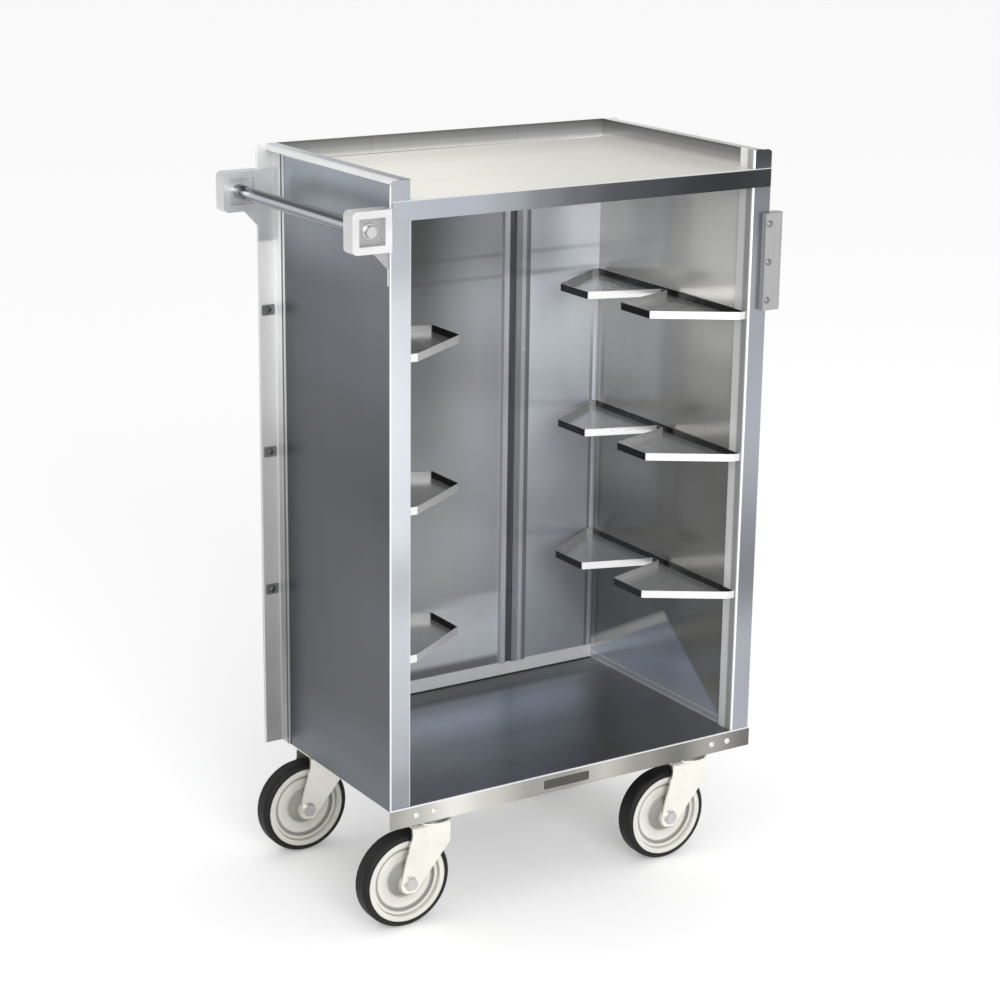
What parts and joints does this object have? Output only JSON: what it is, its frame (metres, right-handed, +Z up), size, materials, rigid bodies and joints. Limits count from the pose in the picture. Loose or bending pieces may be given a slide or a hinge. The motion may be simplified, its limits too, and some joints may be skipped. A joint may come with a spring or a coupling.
{
  "type": "enclosed meal tray cart",
  "caption": "Open-fronted stainless steel tray cart with zigzag side ledges, a rimmed top, a push handle at one end, leg bumpers at the other and swivel casters.",
  "frame": {"origin": "on the floor, under the middle of the cart's whole footprint, handle and bumpers included", "axes": "+Z up; the open front faces -Y; +X to the right seen from the front, away from the handle"},
  "size_m": [0.6374, 0.363, 0.968],
  "materials": {
    "shelf": "brushed stainless deck, dulled by use",
    "top": "brushed stainless, satin",
    "side_panel": "brushed stainless, satin",
    "back_panel": "brushed stainless, satin",
    "seam_strip": "brushed stainless, satin",
    "post": "bright brushed stainless",
    "ledge": "brushed stainless, satin",
    "handle_bar": "polished stainless tube",
    "handle_bracket": "satin casting",
    "bumper": "light grey bumper extrusion",
    "rivet": "bright",
    "clip": "dark",
    "bolt": "zinc plated",
    "channel": "mill finish",
    "caster_steel": "zinc plated, bright",
    "caster_race": "plated, slightly greasy",
    "wheel_core": "moulded, light grey",
    "tyre": "black rubber"
  },
  "bodies": {
    "cabinet": {"base_shelf": "shelf", "top_shelf": "top", "left_side_panel": "side_panel", "right_side_panel": "side_panel", "back_panel_centre": "back_panel", "back_panel_left": "back_panel", "back_panel_right": "back_panel", "back_seam_strip_left": "seam_strip", "back_seam_strip_right": "seam_strip", "handle_bar": "handle_bar", "handle_bracket_front": "handle_bracket", "handle_bracket_back": "handle_bracket", "handle_bolts": "bolt", "leg_bumper_front": "bumper", "leg_bumper_back": "bumper", "bumper_rivets": "rivet", "base_rivets": "rivet", "rear_post_clips": "clip", "caster_channel_left": "channel", "caster_channel_right": "channel", "caster_plate_bolts": "bolt", "caster_kingpins": "bolt", "post_front_left": "post", "post_back_left": "post", "ledge_left_bottom": "ledge", "ledge_left_middle": "ledge", "ledge_left_top": "ledge", "post_front_right": "post", "post_back_right": "post", "ledge_right_bottom": "ledge", "ledge_right_middle": "ledge", "ledge_right_top": "ledge", "caster_plate_front_left": "caster_steel", "caster_plate_front_right": "caster_steel", "caster_plate_back_left": "caster_steel", "caster_plate_back_right": "caster_steel"},
    "caster_fork_front_left": {"fork_front_left": "caster_steel", "swivel_race_front_left": "caster_race", "axle_bolt_front_left": "bolt", "axle_nut_front_left": "bolt"},
    "caster_wheel_front_left": {"wheel_core_front_left": "wheel_core", "tyre_front_left": "tyre"},
    "caster_fork_front_right": {"fork_front_right": "caster_steel", "swivel_race_front_right": "caster_race", "axle_bolt_front_right": "bolt", "axle_nut_front_right": "bolt"},
    "caster_wheel_front_right": {"wheel_core_front_right": "wheel_core", "tyre_front_right": "tyre"},
    "caster_fork_back_left": {"fork_back_left": "caster_steel", "swivel_race_back_left": "caster_race", "axle_bolt_back_left": "bolt", "axle_nut_back_left": "bolt"},
    "caster_wheel_back_left": {"wheel_core_back_left": "wheel_core", "tyre_back_left": "tyre"},
    "caster_fork_back_right": {"fork_back_right": "caster_steel", "swivel_race_back_right": "caster_race", "axle_bolt_back_right": "bolt", "axle_nut_back_right": "bolt"},
    "caster_wheel_back_right": {"wheel_core_back_right": "wheel_core", "tyre_back_right": "tyre"}
  },
  "joints": [
    {"name": "swivel_front_left", "type": "hinge", "parent": "cabinet", "child": "caster_fork_front_left", "pos_m": [-0.18685, -0.137, 0.15], "axis": [0, 0, 1], "continuous": true},
    {"name": "wheel_spin_front_left", "type": "hinge", "parent": "caster_fork_front_left", "child": "caster_wheel_front_left", "pos_m": [-0.22785, -0.137, 0.0635], "axis": [0, 1, 0], "continuous": true},
    {"name": "swivel_front_right", "type": "hinge", "parent": "cabinet", "child": "caster_fork_front_right", "pos_m": [0.22215, -0.137, 0.15], "axis": [0, 0, 1], "continuous": true},
    {"name": "wheel_spin_front_right", "type": "hinge", "parent": "caster_fork_front_right", "child": "caster_wheel_front_right", "pos_m": [0.18115, -0.137, 0.0635], "axis": [0, 1, 0], "continuous": true},
    {"name": "swivel_back_left", "type": "hinge", "parent": "cabinet", "child": "caster_fork_back_left", "pos_m": [-0.18685, 0.137, 0.15], "axis": [0, 0, 1], "continuous": true},
    {"name": "wheel_spin_back_left", "type": "hinge", "parent": "caster_fork_back_left", "child": "caster_wheel_back_left", "pos_m": [-0.22785, 0.137, 0.0635], "axis": [0, 1, 0], "continuous": true},
    {"name": "swivel_back_right", "type": "hinge", "parent": "cabinet", "child": "caster_fork_back_right", "pos_m": [0.22215, 0.137, 0.15], "axis": [0, 0, 1], "continuous": true},
    {"name": "wheel_spin_back_right", "type": "hinge", "parent": "caster_fork_back_right", "child": "caster_wheel_back_right", "pos_m": [0.18115, 0.137, 0.0635], "axis": [0, 1, 0], "continuous": true}
  ]
}
